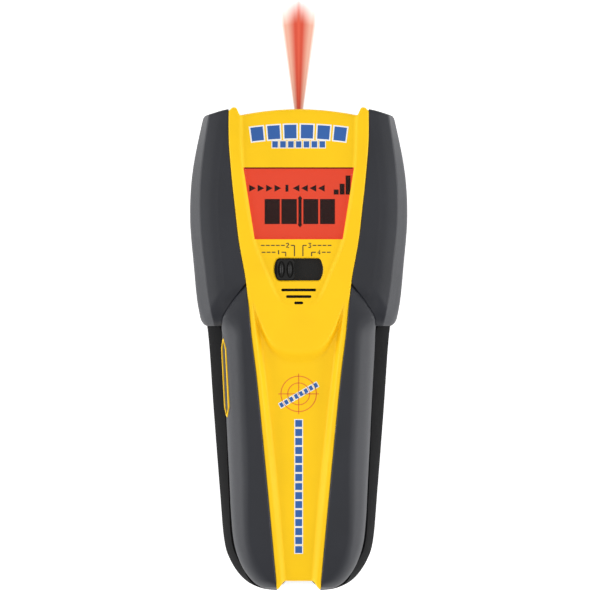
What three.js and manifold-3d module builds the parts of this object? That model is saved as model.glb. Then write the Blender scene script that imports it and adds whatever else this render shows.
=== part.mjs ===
// A handheld wall scanner that finds studs, live wires and metal behind plaster.
// Millimetres. +Z points out of the display face, +Y points at the nose that throws the light beam,
// and the sensing face lies on Z = 0. Two shells meet at the parting plane: a yellow front housing,
// with soft slate guards and grips over its flanks, and a black rear housing with the battery door.
import * as THREE from "three";
import { mergeVertices } from "three/addons/utils/BufferGeometryUtils.js";
import Module from "manifold-3d";

const wasm = await Module();
wasm.setup();

// ---- Driving dimensions ----------------------------------------------------------------------

const GAP = 0.3; // between pieces that touch
const SKIN = 2.7; // thickness of the soft guards and grips
const WALL = 2.2; // thickness of the moulded shells
const PARTING_Z = 20; // where the rear housing ends and the front housing starts
const GUARD_BOTTOM_Z = 8; // how far down the shoulder guards wrap the rear housing
const FLOOR_BOTTOM_Z = 0.9; // outside of the rear housing's floor
const FLOOR_TOP_Z = 3; // inside of the rear housing's floor
const PANEL_RECESS = 0.8; // how far the display panel lies below the rims
const CHANNEL_DEPTH = 2.4; // depth of the channel along the handle
const STRIP_ROOF = 3.4; // from the top of the yellow strip to the ceiling below it

// Half widths and heights along Y, as [y, value] pairs that a smooth curve runs through.
const shoulderHalf = profile([[8, 35.9], [18, 38.2], [30, 39.7], [50, 41.25], [68, 40.2], [92, 35.4]]);
const bevelWidth = profile([[8, 4.4], [30, 3.7], [50, 3.4], [68, 2.9], [92, 1.6]]);
const gripHalf = profile([[-92, 22.6], [-72, 25], [-46, 26.5], [-16, 28], [12, 29.2], [30, 30]]);
const stripHalf = profile([
  [-92, 8.2], [-54, 11.7], [-12, 15.8], [6, 18], [25, 19.9], [41, 22.7], [54, 24.2], [66, 25.5],
  [79, 26.5], [92, 26.6],
]);
const channelHalf = profile([[-92, 4.2], [-50, 7.9], [1, 13.6], [25, 16.6]]);
const crestHeight = profile([
  [-92, 27.4], [-75, 31], [-45, 33.9], [-10, 35.2], [20, 35.5], [55, 35.5], [72, 35.1], [92, 32.6],
]);

// Half outlines in plan, tail to nose, for the right-hand side.
const HANDLE_OUTLINE = [
  [0, -91.6], [8, -91.5], [14.3, -90.6], [19, -86.5], [22.9, -79.5], [25, -71], [26.5, -46], [28, -16],
  [29.1, 6], [28.9, 11.6], [25.6, 17.6], [21.4, 23.2], [15, 28], [0, 31],
];
const HEAD_OUTLINE = [
  [0, 8.7], [24, 8.7], [32.6, 8.7], [34.7, 8.9], [36.2, 10.3], [37.3, 13.2], [38.5, 20], [39.6, 30],
  [41.2, 50], [40.3, 67], [37, 84.6], [34.6, 88.4], [26.8, 91], [12, 92], [0, 92.2],
];
const REAR_OUTLINE = [
  [0, -91.8], [8, -91.7], [15.6, -90.6], [21.4, -87], [26, -80.4], [28.4, -72.4], [30, -54], [32.4, -23],
  [34.5, 6], [36.9, 17], [38.8, 31], [40.2, 50], [39.2, 68], [36.4, 82.6], [33.6, 86.6], [28, 88], [22, 88],
  [12, 89.6], [0, 90.4],
];

const DISPLAY = { yTop: 68.7, yBottom: 41.8, halfTop: 20.8, halfBottom: 16.5 };
const SLOT = { y: 30.2, half: 9.3, height: 8.5, bulge: 1.3 }; // opening for the mode slider
const MODE_PITCH = 3.27; // between the four scan modes
const MODE_STEPS = 3;
const MODE_REST_X = (-MODE_PITCH * MODE_STEPS) / 2;
const SOUND_SLOTS = [[22.4, 6.6], [19.9, 4.8], [17.5, 1.7]]; // [y, half length]
const BEAM_Z = 26;
const PCB_Z = 22.9;
const PCB_THICKNESS = 1.6;
const PCB_TOP = PCB_Z + PCB_THICKNESS;
const SENSOR_Z = 4.6;
const BATTERY = { half: 13.25, yTail: -82, yNose: -35.5, bottom: 4.2, top: 21.7 };
const DOOR = { half: 13.85, yTail: -84.6, hingeY: -28.2, hingeZ: 2.1, barrel: 1.2 };
const SCREWS = [[-28.5, 77], [28.5, 77], [-20, -26], [20, -26]];
const BUTTON = { half: 14.25, height: 2.7, x: -27.75, y: -10.95, z: 25.2, leanDegrees: 13, depth: 2.8 };

// ---- Curves, solids and small helpers --------------------------------------------------------

// A smooth function through [position, value] pairs, held level beyond both ends.
function profile(points) {
  const slopes = points.map((_, i) => {
    const before = points[Math.max(i - 1, 0)];
    const after = points[Math.min(i + 1, points.length - 1)];
    return (after[1] - before[1]) / (after[0] - before[0]);
  });
  return (position) => {
    let i = 0;
    while (i < points.length - 2 && position > points[i + 1][0]) i += 1;
    const span = points[i + 1][0] - points[i][0];
    const t = THREE.MathUtils.clamp((position - points[i][0]) / span, 0, 1);
    const fromStart = points[i][1] * (1 + 2 * t) * (1 - t) ** 2 + slopes[i] * span * t * (1 - t) ** 2;
    const fromEnd = points[i + 1][1] * t * t * (3 - 2 * t) - slopes[i + 1] * span * t * t * (1 - t);
    return fromStart + fromEnd;
  };
}

function smooth(low, high, value) {
  return THREE.MathUtils.smoothstep(value, low, high);
}

function range(from, to, steps) {
  return Array.from({ length: steps + 1 }, (_, i) => from + ((to - from) * i) / steps);
}

// A closed mesh as a manifold solid, turned the right way out.
function solid(geometry) {
  const bare = new THREE.BufferGeometry().setAttribute("position", geometry.getAttribute("position"));
  bare.setIndex(geometry.index);
  const merged = mergeVertices(bare, 1e-4);
  const triVerts = new Uint32Array(merged.index.array);
  if (signedVolume(merged) < 0) {
    triVerts.reverse();
  }
  const vertProperties = merged.attributes.position.array;
  return new wasm.Manifold(new wasm.Mesh({ numProp: 3, vertProperties, triVerts }));
}

function signedVolume(geometry) {
  const position = geometry.attributes.position;
  const corner = [0, 1, 2].map(() => new THREE.Vector3());
  let total = 0;
  for (let i = 0; i < geometry.index.count; i += 3) {
    corner.forEach((point, k) => point.fromBufferAttribute(position, geometry.index.getX(i + k)));
    total += corner[0].dot(corner[1].cross(corner[2]));
  }
  return total;
}

function geometryOf(shape) {
  const mesh = shape.getMesh();
  const geometry = new THREE.BufferGeometry();
  geometry.setAttribute("position", new THREE.BufferAttribute(mesh.vertProperties, mesh.numProp));
  geometry.setIndex(new THREE.BufferAttribute(mesh.triVerts, 1));
  return geometry;
}

// Joins rings of equal length, in order, into one closed body. flatten gives the plane of the end caps.
function loft(rings, flatten) {
  const count = rings[0].length;
  const positions = rings.flat().flatMap((point) => point.toArray());
  const index = [];
  rings.slice(1).forEach((_, k) => {
    for (let i = 0; i < count; i += 1) {
      const a = k * count + i;
      const b = k * count + ((i + 1) % count);
      index.push(a, b, a + count, b, b + count, a + count);
    }
  });
  const cap = (ring, start, direction) => {
    const flat = ring.map(flatten);
    const ringTurn = Math.sign(THREE.ShapeUtils.area(flat)) * direction;
    THREE.ShapeUtils.triangulateShape(flat, []).forEach(([a, b, c]) => {
      const turn = Math.sign(THREE.ShapeUtils.area([flat[a], flat[b], flat[c]]));
      const ordered = turn === ringTurn ? [a, b, c] : [a, c, b];
      index.push(...ordered.map((i) => i + start));
    });
  };
  cap(rings[0], 0, -1);
  cap(rings.at(-1), (rings.length - 1) * count, 1);
  const geometry = new THREE.BufferGeometry();
  geometry.setAttribute("position", new THREE.Float32BufferAttribute(positions, 3));
  geometry.setIndex(index);
  return solid(geometry);
}

// A body between an upper and a lower surface, both given over the same grid of u and v.
function sheet(us, vs, upper, lower) {
  const rings = us.map((u) => {
    const top = vs.map((v) => upper(u, v));
    const bottom = vs.map((v) => lower(u, v)).reverse();
    return [...top, ...bottom];
  });
  const count = vs.length;
  const positions = rings.flat().flatMap((point) => point.toArray());
  const ring = count * 2;
  const index = [];
  for (let i = 0; i < us.length - 1; i += 1) {
    for (let j = 0; j < ring; j += 1) {
      const a = i * ring + j;
      const b = i * ring + ((j + 1) % ring);
      index.push(a, b, a + ring, b, b + ring, a + ring);
    }
  }
  for (let j = 0; j < count - 1; j += 1) {
    const under = ring - 1 - j;
    const last = (us.length - 1) * ring;
    index.push(j, under, j + 1, j + 1, under, under - 1);
    index.push(last + j, last + j + 1, last + under, last + j + 1, last + under - 1, last + under);
  }
  const geometry = new THREE.BufferGeometry();
  geometry.setAttribute("position", new THREE.Float32BufferAttribute(positions, 3));
  geometry.setIndex(index);
  return solid(geometry);
}

// A closed plan outline from its right-hand half, moved inwards by inset(x, y).
function outline(half, inset, steps = 26) {
  const curve = new THREE.SplineCurve(half.map(([x, y]) => new THREE.Vector2(x, y)));
  const right = curve.getSpacedPoints(steps);
  const left = right.slice(1, -1).reverse().map((p) => new THREE.Vector2(-p.x, p.y));
  const loop = [...right, ...left];
  return loop.map((point, i) => {
    const before = loop[(i + loop.length - 1) % loop.length];
    const after = loop[(i + 1) % loop.length];
    const along = after.clone().sub(before).normalize();
    const amount = inset(Math.abs(point.x), point.y);
    return new THREE.Vector2(point.x - along.y * amount, point.y + along.x * amount);
  });
}

function prism(points, bottom, top) {
  const shape = new THREE.Shape(points);
  const settings = { depth: top - bottom, bevelEnabled: false, curveSegments: 6 };
  return solid(new THREE.ExtrudeGeometry(shape, settings).translate(0, 0, bottom));
}

function polygonPrism(pairs, bottom, top) {
  return prism(pairs.map(([x, y]) => new THREE.Vector2(x, y)), bottom, top);
}

function roundedPoints(width, height, radius) {
  const corner = (cx, cy, start) =>
    range(start, start + Math.PI / 2, 4).map(
      (a) => new THREE.Vector2(cx + radius * Math.cos(a), cy + radius * Math.sin(a)),
    );
  const x = width / 2 - radius;
  const y = height / 2 - radius;
  return [
    ...corner(x, y, 0),
    ...corner(-x, y, Math.PI / 2),
    ...corner(-x, -y, Math.PI),
    ...corner(x, -y, -Math.PI / 2),
  ];
}

// A block with rounded upright edges, centred on x and y and standing from bottom to top.
function roundedBlock(width, length, radius, x, y, bottom, top) {
  const centre = new THREE.Vector2(x, y);
  return prism(roundedPoints(width, length, radius).map((p) => p.add(centre)), bottom, top);
}

function block(x0, x1, y0, y1, z0, z1) {
  const box = new THREE.BoxGeometry(x1 - x0, y1 - y0, z1 - z0);
  return solid(box.translate((x0 + x1) / 2, (y0 + y1) / 2, (z0 + z1) / 2));
}

function upright(radius, x, y, bottom, top, sides = 20) {
  const rod = new THREE.CylinderGeometry(radius, radius, top - bottom, sides).rotateX(Math.PI / 2);
  return solid(rod.translate(x, y, (bottom + top) / 2));
}

// A body turned round the Y axis from [radius, y] pairs that start and end on the axis.
function turned(pairs, x, z, sides = 20) {
  const points = pairs.map(([radius, y]) => new THREE.Vector2(radius, y));
  return solid(new THREE.LatheGeometry(points, sides).translate(x, 0, z));
}

function acrossRod(radius, x0, x1, y, z, sides = 16) {
  const rod = new THREE.CylinderGeometry(radius, radius, x1 - x0, sides).rotateZ(Math.PI / 2);
  return solid(rod.translate((x0 + x1) / 2, y, z));
}

function join(first, ...rest) {
  return rest.reduce((sum, next) => sum.add(next), first);
}

function cut(first, ...tools) {
  return tools.reduce((left, tool) => left.subtract(tool), first);
}

function plastic(color, roughness = 0.5) {
  return new THREE.MeshStandardMaterial({ color, roughness, metalness: 0 });
}

function metal(color, roughness = 0.35) {
  return new THREE.MeshStandardMaterial({ color, roughness, metalness: 1 });
}

const MATERIAL = {
  yellow: plastic(0xfdd31a, 0.42),
  slate: plastic(0x3a3c42, 0.62),
  black: plastic(0x212123, 0.55),
  nearBlack: plastic(0x141416, 0.4),
  clear: plastic(0xf6b0a0, 0.08),
  glass: plastic(0xe9503c, 0.2),
  white: plastic(0xe8e8e4, 0.5),
  grey: plastic(0x808287, 0.6),
  board: plastic(0x1d5b34, 0.45),
  felt: plastic(0x2c2c2f, 0.95),
  red: plastic(0xc62a22, 0.4),
  redLens: plastic(0xd8322a, 0.12),
  tin: metal(0xc9cacc),
  steel: metal(0x9fa2a6),
  copper: metal(0xc07a4a, 0.3),
  batteryJacket: plastic(0x2d4f74, 0.4),
};

const part = new THREE.Group();

function add(name, shape, material, parent = part) {
  const mesh = new THREE.Mesh(geometryOf(shape), material);
  mesh.name = name;
  parent.add(mesh);
}

// ---- The outer form --------------------------------------------------------------------------

// Height of the yellow strip's top surface: rims at the crest, a channel along the handle, and the
// display plateau that drops into the channel over a U-shaped lip.
function stripTop(x, y) {
  const across = Math.abs(x);
  const rimInner = stripHalf(y) - 1.2;
  const lipY = -0.8 + 24.7 * (across / 18.5) ** 3;
  const belowLip = smooth(-5, 0, lipY - 5 - y);
  const insideRims = smooth(0, 1, (rimInner - across) / Math.max(rimInner - channelHalf(y), 0.5));
  return crestHeight(y) - CHANNEL_DEPTH * belowLip * insideRims;
}

const SECTION_BOTTOM = 0.5; // every section runs down to here, and the plan outline trims it

// The tops of the guards' and grips' sections, as [share of half width, share of height] pairs.
const HEAD_SECTION = [[0, 0], [0.45, 0.01], [0.78, 0.07], [0.9, 0.13]];
const HANDLE_SECTION = [[0, 0], [0.45, 0.02], [0.66, 0.06], [0.8, 0.14], [0.9, 0.27], [0.96, 0.5]];

function headSection(y, inset) {
  const crest = crestHeight(y);
  const height = crest - PARTING_Z;
  const outer = shoulderHalf(y);
  const bevel = outer - bevelWidth(y);
  const top = HEAD_SECTION.map(([across, drop]) => [
    (across / 0.9) * (bevel - inset * 0.5),
    crest - drop * height - inset,
  ]);
  const side = [
    [outer - 0.8 - inset, crest - 0.6 * height - inset * 0.4],
    [outer - inset, crest - 0.9 * height],
    [outer - 0.9 - inset, SECTION_BOTTOM],
  ];
  return [...top, ...side];
}

function handleSection(y, inset) {
  const crest = crestHeight(y);
  const height = crest - PARTING_Z;
  const outer = gripHalf(y);
  const top = HANDLE_SECTION.map(([across, drop]) => [
    across * outer - inset * across * across,
    crest - drop * height - inset * (1 - 0.5 * drop),
  ]);
  return [...top, [outer - inset, PARTING_Z], [outer - inset, SECTION_BOTTOM]];
}

function sectionLoft(stations, section) {
  const rings = stations.map((y) => {
    const right = section(y);
    const left = right.slice(1).map(([x, z]) => [-x, z]).reverse();
    return [...left, ...right].map(([x, z]) => new THREE.Vector3(x, y, z));
  });
  return loft(rings, (point) => new THREE.Vector2(point.x, point.z));
}

function headForm(inset, bottom) {
  const stations = range(8, 93, 10);
  const form = sectionLoft(stations, (y) => headSection(y, inset));
  return form.intersect(prism(outline(HEAD_OUTLINE, () => inset), bottom, 50));
}

function handleForm(inset, bottom) {
  const stations = range(-93, 32, 12);
  const form = sectionLoft(stations, (y) => handleSection(y, inset));
  return form.intersect(prism(outline(HANDLE_OUTLINE, () => inset), bottom, 50));
}

// Everything inside the yellow strip's edges, grown by a gap, as a cutting tool.
function stripSpace(gap) {
  const ys = range(-96, 96, 26);
  const right = ys.map((y) => new THREE.Vector2(stripHalf(y) + gap, y));
  const left = ys.map((y) => new THREE.Vector2(-stripHalf(y) - gap, y)).reverse();
  return prism([...right, ...left], 1, 50);
}

// Everything inside the grips' outline, grown by a distance, as a cutting tool.
function archSpace(grow) {
  return prism(outline(HANDLE_OUTLINE, () => -grow), 1, 50);
}

function sideSpace(side) {
  return side > 0 ? block(0.1, 60, -100, 100, -1, 60) : block(-60, -0.1, -100, 100, -1, 60);
}

// The rear housing's outside: a tray whose handle walls lean in towards the grips, and whose head
// walls step in under the shoulder guards.
function rearForm(grow) {
  const underGuard = (x, y) => 2.2 * smooth(24, 29, x) * smooth(4, 12, y);
  const flankLean = (y) => THREE.MathUtils.clamp(4.2 + (y + 30) * 0.035, 2.8, 5.2);
  const towardsGrip = (x, y) => flankLean(y) * (1 - smooth(4, 12, y));
  const tailEase = (y) => smooth(-92, -84, y);
  const levels = [
    [FLOOR_BOTTOM_Z, () => 2.6],
    [1.7, () => 1],
    [3.5, () => 0.2],
    [GUARD_BOTTOM_Z - GAP, () => 0],
    [GUARD_BOTTOM_Z - 0.1, (x, y) => underGuard(x, y)],
    [PARTING_Z, (x, y) => underGuard(x, y) + towardsGrip(x, y) * tailEase(y)],
  ];
  const rings = levels.map(([z, inset]) => {
    const points = outline(REAR_OUTLINE, (x, y) => inset(x, y) - grow);
    return points.map((p) => new THREE.Vector3(p.x, p.y, z + grow));
  });
  return loft(rings, (point) => new THREE.Vector2(point.x, point.y));
}

// The hollow that both shells share, as plan prisms.
function hollow(bottom, top) {
  const head = prism(outline(HEAD_OUTLINE, () => 5.4), bottom, top);
  const handle = prism(outline(HANDLE_OUTLINE, () => 5.2), bottom, top);
  return head.add(handle);
}

function tailNotch() {
  const outlinePairs = [[-9.4, -95], [-8.2, -91.3], [-4.8, -88.1], [4.8, -88.1], [8.2, -91.3], [9.4, -95]];
  return polygonPrism(outlinePairs, -1, 50);
}

// ---- Front housing ---------------------------------------------------------------------------

// The strip's outside over u across and v along, with horns at the nose and a notch at the tail.
const STRIP_US = [-1, -0.94, -0.88, -0.83, -0.66, -0.45, -0.2, 0.2, 0.45, 0.66, 0.83, 0.88, 0.94, 1];

function stripPoint(u, v, height) {
  const across = Math.abs(u);
  const noseArc = 88.7 + 2.3 * (1 - Math.min(across / 0.83, 1) ** 2);
  const horn = 3 * smooth(0.83, 0.9, across) * (1 - 0.4 * smooth(0.94, 1, across));
  const tail = -88.1 - 3.2 * smooth(0.58, 1, across);
  const y = THREE.MathUtils.lerp(tail, noseArc + horn, v);
  const x = u * stripHalf(y);
  return new THREE.Vector3(x, y, height(x, y));
}

function yellowStrip() {
  const vs = [...range(0, 0.42, 6), ...range(0.47, 0.64, 7), ...range(0.7, 1, 4)];
  const top = (u, v) => stripPoint(u, v, stripTop);
  const bottom = (u, v) => stripPoint(u, v, () => PARTING_Z + GAP);
  return sheet(STRIP_US, vs, top, bottom);
}

function stripHollow() {
  const inner = (u, v, height) => {
    const y = THREE.MathUtils.lerp(-85.6, 88.4, v);
    const x = u * (stripHalf(y) - WALL);
    return new THREE.Vector3(x, y, height(x, y));
  };
  const ceiling = (x, y) => stripTop(x, y) - STRIP_ROOF;
  const us = [-1, -0.8, -0.5, 0, 0.5, 0.8, 1];
  const bottom = (u, v) => inner(u, v, () => PARTING_Z - 1);
  return sheet(us, range(0, 1, 16), (u, v) => inner(u, v, ceiling), bottom);
}

// The recessed panel round the display: straight-sided above, and closing in a U below the sound slots.
function panelRecess() {
  const half = profile([[14.6, 1.5], [18.6, 7.1], [28.5, 11.9], [41.6, 16.9], [69.2, 21.2], [96, 22]]);
  const at = (u, v, height) => {
    const y = THREE.MathUtils.lerp(14.6, 96, v);
    return new THREE.Vector3(u * half(y), y, height(y));
  };
  return sheet(
    [-1, 0, 1],
    range(0, 1, 14),
    (u, v) => at(u, v, () => 45),
    (u, v) => at(u, v, (y) => crestHeight(y) - PANEL_RECESS),
  );
}

function displayWindow(grow, bottom, top) {
  const points = [
    [-DISPLAY.halfTop - grow, DISPLAY.yTop + grow],
    [-DISPLAY.halfBottom - grow, DISPLAY.yBottom - grow],
    [DISPLAY.halfBottom + grow, DISPLAY.yBottom - grow],
    [DISPLAY.halfTop + grow, DISPLAY.yTop + grow],
  ];
  return polygonPrism(points, bottom, top);
}

// A slot with straight long sides and ends that bulge as shallow arcs.
function switchSlot(bottom, top) {
  const halfHeight = SLOT.height / 2;
  const bulge = range(-1, 1, 6).map((t) => [SLOT.half - SLOT.bulge * t * t, t * halfHeight]);
  const right = bulge.map(([x, y]) => [x, SLOT.y + y]);
  const left = bulge.map(([x, y]) => [-x, SLOT.y - y]);
  return polygonPrism([...right, ...left], bottom, top);
}

function soundSlots() {
  return SOUND_SLOTS.map(([y, half]) => roundedBlock(half * 2, 1, 0.45, 0, y, 25, 50));
}

function frontHousing() {
  const bottom = PARTING_Z + GAP;
  const headFlank = headForm(SKIN + GAP, bottom).subtract(archSpace(GAP));
  const flanks = join(headFlank, handleForm(SKIN + GAP, bottom));
  const outside = cut(join(yellowStrip(), flanks.subtract(tailNotch())), panelRecess());
  const headHollow = headForm(SKIN + GAP + WALL, PARTING_Z - 1).subtract(archSpace(GAP + WALL));
  const flankHollow = join(headHollow, handleForm(SKIN + GAP + WALL, PARTING_Z - 1));
  const inside = join(flankHollow, stripHollow()).intersect(hollow(PARTING_Z - 2, 50));
  const shell = outside.subtract(inside);
  const bosses = SCREWS.map(([x, y]) => upright(3.5, x, y, PARTING_Z + GAP, 29.4));
  const batteryRibs = [-70, -50].map((y) => block(-12, 12, y - 0.8, y + 0.8, BATTERY.top + GAP, 29));
  const screwHoles = SCREWS.map(([x, y]) => upright(1.7, x, y, PARTING_Z - 1, 27.4));
  const beamHole = turned([[0, 85], [3.2, 85], [3.2, 95], [0, 95]], 0, BEAM_Z);
  const sliderPocket = block(-19.4, 19.4, SLOT.y - 6.6, SLOT.y + 6.6, 27, 31.7);
  const innerSupports = join(...bosses, ...batteryRibs).intersect(outside);
  return cut(
    join(shell, innerSupports),
    displayWindow(GAP, 20, 50),
    switchSlot(25, 50),
    ...soundSlots(),
    ...screwHoles,
    beamHole,
    sliderPocket,
    buttonPocket(),
    buttonPassage(),
  );
}

// ---- Guards and grips ------------------------------------------------------------------------

function shoulderGuard(side) {
  const outside = headForm(0, GUARD_BOTTOM_Z).intersect(sideSpace(side));
  return cut(outside, headForm(SKIN, 1), archSpace(GAP), stripSpace(GAP), rearForm(GAP));
}

function handleGrip(side) {
  const outside = handleForm(0, PARTING_Z + GAP).intersect(sideSpace(side));
  const grip = cut(outside, handleForm(SKIN, 1), stripSpace(GAP));
  return side < 0 ? cut(grip, buttonPocket(), buttonPassage()) : grip;
}

// ---- Power button on the left flank ----------------------------------------------------------

// The button's own frame: X along the handle, Y up the flank, Z inwards, so Z is its depth.
function buttonMatrix() {
  const lean = THREE.MathUtils.degToRad(BUTTON.leanDegrees);
  const along = new THREE.Vector3(-0.05, 1, 0).normalize();
  const up = new THREE.Vector3(Math.sin(lean), 0, Math.cos(lean));
  up.addScaledVector(along, -up.dot(along)).normalize();
  const inwards = along.clone().cross(up);
  const matrix = new THREE.Matrix4().makeBasis(along, up, inwards);
  return matrix.setPosition(BUTTON.x, BUTTON.y, BUTTON.z);
}

// A long hexagon with pointed ends, grown on all sides.
function buttonOutline(grow) {
  const half = BUTTON.half + grow * 1.3;
  const height = BUTTON.height + grow;
  const shoulder = BUTTON.half - 3;
  const lower = [[-half, 0], [-shoulder, -height], [shoulder, -height]];
  const pairs = [...lower, [half, 0], [shoulder, height], [-shoulder, height]];
  return pairs.map(([x, y]) => new THREE.Vector2(x, y));
}

function inButtonFrame(shape) {
  return solid(geometryOf(shape).applyMatrix4(buttonMatrix()));
}

function buttonPocket() {
  return inButtonFrame(prism(buttonOutline(1.2), -4, BUTTON.depth + 0.3));
}

function buttonPassage() {
  return inButtonFrame(block(-11, 11, -2.6, 2.6, -4, 8));
}

function powerButtonPieces() {
  const frame = new THREE.Group();
  frame.applyMatrix4(buttonMatrix());
  part.add(frame);
  const opening = prism(buttonOutline(0.1), -2, BUTTON.depth + 1);
  const ring = cut(prism(buttonOutline(0.85), -0.35, BUTTON.depth), opening);
  add("button_bezel", ring, MATERIAL.yellow, frame);
  const cap = prism(buttonOutline(-0.25), -0.15, BUTTON.depth - 1);
  const stem = roundedBlock(7, 3.6, 1.2, 0, 0, BUTTON.depth - 1.2, 6.2);
  add("power_button", join(cap, stem), MATERIAL.slate, frame);
  add("tact_switch_plunger", upright(1.5, 0, 0, 6.6, 8.6), MATERIAL.nearBlack, frame);
  const body = cut(roundedBlock(6, 6, 0.6, 0, 0, 7.6, 10.6), upright(1.9, 0, 0, 7, 9.7));
  add("tact_switch_body", body, MATERIAL.nearBlack, frame);
  add("button_board", roundedBlock(16, 8, 0.8, 0, 0, 10.9, 12.1), MATERIAL.board, frame);
}

// ---- Rear housing, battery door and glides ---------------------------------------------------

const HEAD_GLIDE = { x: 27, y: 41, width: 8, length: 54 };
const HANDLE_GLIDE = { x: 20.5, y: -56, width: 4.4, length: 40 };
const GLIDE_TOP_Z = 1.2;

function glideStrips() {
  return [
    ["head_glide_left", -HEAD_GLIDE.x, HEAD_GLIDE],
    ["head_glide_right", HEAD_GLIDE.x, HEAD_GLIDE],
    ["handle_glide_left", -HANDLE_GLIDE.x, HANDLE_GLIDE],
    ["handle_glide_right", HANDLE_GLIDE.x, HANDLE_GLIDE],
  ];
}

function rearHousing() {
  const hollowed = rearForm(0).subtract(hollow(FLOOR_TOP_Z, PARTING_Z + 2));
  const bosses = SCREWS.map(([x, y]) => upright(4.6, x, y, FLOOR_TOP_Z - 0.5, PARTING_Z - 1));
  const sidePosts = [-1, 1].flatMap((side) =>
    [24, 64].map((y) => upright(2, side * 26, y, 2.5, SENSOR_Z - GAP)),
  );
  const cradle = [-1, 1].map((side) => {
    const x = side * (DOOR.half + 0.35 + 0.8);
    return block(x - 0.8, x + 0.8, -84, -34, 2.5, 15);
  });
  const bulkhead = cut(block(-16, 16, -26.2, -24.8, 2.5, 18), block(-7, 7, -27, -24, 12, 19));
  const doorway = block(-DOOR.half - 0.35, DOOR.half + 0.35, DOOR.yTail - 0.35, DOOR.hingeY + 1.6, 0, 3.2);
  const sockets = acrossRod(1.1, -15.9, 15.9, DOOR.hingeY, DOOR.hingeZ);
  const screwWells = SCREWS.map(([x, y]) => upright(3.3, x, y, 0, 5));
  const screwHoles = SCREWS.map(([x, y]) => upright(1.7, x, y, 0, PARTING_Z + 1));
  const glidePockets = glideStrips().map(([, x, glide]) =>
    roundedBlock(glide.width + 0.6, glide.length + 0.6, 1.8, x, glide.y, 0, GLIDE_TOP_Z + GAP));
  return cut(
    join(hollowed, ...bosses, ...sidePosts, ...cradle, bulkhead),
    doorway,
    sockets,
    ...screwWells,
    ...screwHoles,
    ...glidePockets,
    tailNotch(),
  );
}

function batteryDoor() {
  const middle = (DOOR.yTail + DOOR.hingeY - 0.5) / 2;
  const length = DOOR.hingeY - 0.5 - DOOR.yTail;
  const plate = roundedBlock(DOOR.half * 2, length, 1, 0, middle, FLOOR_BOTTOM_Z, 2.9);
  const barrel = acrossRod(DOOR.barrel, -DOOR.half, DOOR.half, DOOR.hingeY, DOOR.hingeZ);
  const pegs = acrossRod(0.8, -15.4, 15.4, DOOR.hingeY, DOOR.hingeZ);
  const fingerGrooves = range(-80, -74, 3).map((y) => block(-7, 7, y - 0.45, y + 0.45, 0, 1.4));
  return cut(join(plate, barrel, pegs), ...fingerGrooves);
}

// ---- Screws, battery and leads ---------------------------------------------------------------

function screw(x, y) {
  const shank = upright(1.35, x, y, 4, 26.8, 12);
  const head = upright(2.8, x, y, 2.4, 4.7);
  const crossRecess = [
    block(x - 1.5, x + 1.5, y - 0.35, y + 0.35, 2, 3.5),
    block(x - 0.35, x + 0.35, y - 1.5, y + 1.5, 2, 3.5),
  ];
  return cut(join(shank, head), ...crossRecess);
}

function batteryPieces() {
  const height = BATTERY.top - BATTERY.bottom;
  const middle = (BATTERY.top + BATTERY.bottom) / 2;
  const profilePoints = roundedPoints(BATTERY.half * 2, height, 2);
  const body = new THREE.ExtrudeGeometry(new THREE.Shape(profilePoints), {
    depth: BATTERY.yNose - BATTERY.yTail,
    bevelEnabled: false,
  });
  body.rotateX(Math.PI / 2).translate(0, BATTERY.yNose, middle);
  add("battery_case", solid(body), MATERIAL.batteryJacket);
  const studEnd = BATTERY.yNose + 2.3;
  const plain = [[0, BATTERY.yNose + GAP], [2.8, BATTERY.yNose + GAP], [2.8, studEnd], [0, studEnd]];
  add("battery_terminal_positive", turned(plain, 6.35, middle, 16), MATERIAL.tin);
  const cup = [[0, BATTERY.yNose + GAP], [4, BATTERY.yNose + GAP], [4.2, studEnd], [0, studEnd]];
  add("battery_terminal_negative", turned(cup, -6.35, middle, 6), MATERIAL.tin);
  const snap = roundedBlock(25, 3.4, 1.2, 0, studEnd + GAP + 1.7, middle - 6, middle + 6);
  add("battery_snap", snap, MATERIAL.nearBlack);
}

// A round wire along a route of [x, y, z] points.
function wire(route, radius) {
  const path = new THREE.CatmullRomCurve3(route.map((p) => new THREE.Vector3(...p)));
  const section = new THREE.Shape(range(0, 7, 7).map((k) => {
    const turn = (k * Math.PI) / 4;
    return new THREE.Vector2(radius * Math.cos(turn), radius * Math.sin(turn));
  }));
  return solid(new THREE.ExtrudeGeometry(section, { steps: 18, extrudePath: path, bevelEnabled: false }));
}

function batteryLeads() {
  const snapFace = BATTERY.yNose + 2.3 + GAP + 3.4 + GAP;
  const lead = (x) => [
    [x, snapFace, 16.5], [x, snapFace + 2, 16.6], [x * 0.9, -23, 17], [x * 0.6, -17, 18],
    [x * 0.5, -12.6, 20], [x * 0.5, -12, 22.6],
  ];
  add("battery_lead_red", wire(lead(5), 0.65), MATERIAL.red);
  add("battery_lead_black", wire(lead(-5), 0.65), MATERIAL.nearBlack);
}

// ---- Display, slider, sounder and beam -------------------------------------------------------

function displayPieces() {
  const middle = (DISPLAY.yTop + DISPLAY.yBottom) / 2;
  const plug = displayWindow(0, 31, 33.7);
  const flange = displayWindow(1.6, 30.4, 31.3);
  add("display_lens", join(plug, flange), MATERIAL.clear);
  add("lens_gasket", cut(displayWindow(1.6, 29.3, 30.1), displayWindow(0, 29, 31)), MATERIAL.nearBlack);
  add("lcd_glass", roundedBlock(44, 31, 0.4, 0, middle, 27.2, 29), MATERIAL.glass);
  add("lcd_backlight", roundedBlock(44, 31, 1, 0, middle, 24.8, 26.9), MATERIAL.white);
  const opening = block(-22.4, 22.4, middle - 15.9, middle + 15.9, 24, 30);
  const frame = cut(roundedBlock(48, 35, 1.2, 0, middle, 24.8, 28.2), opening);
  add("lcd_frame", frame, MATERIAL.white);
}

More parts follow.
